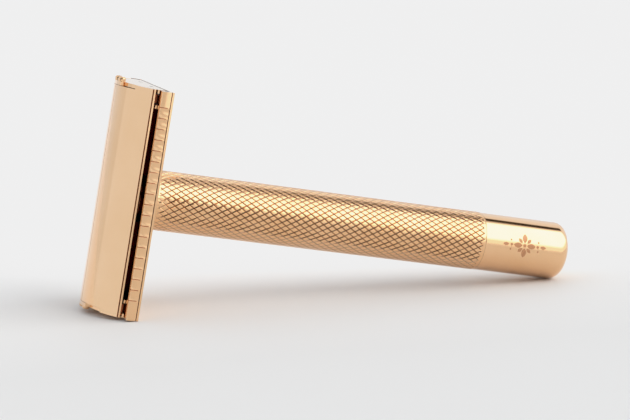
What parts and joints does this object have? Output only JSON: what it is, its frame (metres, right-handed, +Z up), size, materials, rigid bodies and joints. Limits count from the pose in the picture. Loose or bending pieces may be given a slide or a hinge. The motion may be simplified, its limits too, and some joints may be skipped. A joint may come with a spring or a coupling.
{
  "type": "safety razor",
  "caption": "Twist-to-open double-edge safety razor with a knurled handle, lying on its head and its knob.",
  "frame": {"origin": "under the middle of the razor's bounding box, on the surface it lies on", "axes": "+Z up; +X towards the knob (the handle slopes down along +X by 10.4 degrees); Y across the blade, near door on the -Y side"},
  "size_m": [0.1036, 0.0252, 0.0464],
  "materials": {
    "grip_gold": "rose-gold plating over a diamond knurl, bright on the crests",
    "polished_gold": "mirror-polished rose-gold plating",
    "brass": "turned brass, unplated",
    "steel": "turned stainless steel",
    "washer": "brown nylon"
  },
  "bodies": {
    "handle": {"handle_tube": "grip_gold", "neck_collar": "polished_gold", "guard_plate": "polished_gold", "guide_bushing": "brass", "tail_bushing": "brass", "thrust_washer": "washer"},
    "knob": {"knob": "polished_gold", "drive_rod": "steel", "drive_screw": "steel", "retaining_ring": "steel", "wave_washer": "steel"},
    "lift": {"lift_stem": "brass", "drive_nut": "brass", "blade_platform": "polished_gold", "platform_screw": "steel", "locating_posts": "steel", "end_plate_upper": "polished_gold", "end_plate_lower": "polished_gold", "platform_rivets": "steel", "hinge_pins": "steel"},
    "near_door": {"door_near": "polished_gold"},
    "far_door": {"door_far": "polished_gold"}
  },
  "joints": [
    {"name": "knob_twist", "type": "hinge", "parent": "handle", "child": "knob", "pos_m": [0.04034, 0, 0.00745], "axis": [0.9837, 0, -0.18], "range_deg": [0, 360]},
    {"name": "platform_lift", "type": "slide", "parent": "handle", "child": "lift", "axis": [-0.9837, 0, 0.18], "range_m": [0, 0.0032]},
    {"name": "near_door_hinge", "type": "hinge", "parent": "lift", "child": "near_door", "pos_m": [-0.0414, -0.0089, 0.02241], "axis": [0.18, 0, 0.9837], "range_deg": [0, 90]},
    {"name": "far_door_hinge", "type": "hinge", "parent": "lift", "child": "far_door", "pos_m": [-0.0414, 0.0089, 0.02241], "axis": [-0.18, 0, -0.9837], "range_deg": [0, 90]}
  ],
  "couplings": [
    {"joint": "knob_twist", "follows": "platform_lift", "rad_per_m": 1963.5},
    {"joint": "near_door_hinge", "follows": "platform_lift", "rad_per_m": 490.87},
    {"joint": "far_door_hinge", "follows": "platform_lift", "rad_per_m": 490.87}
  ]
}
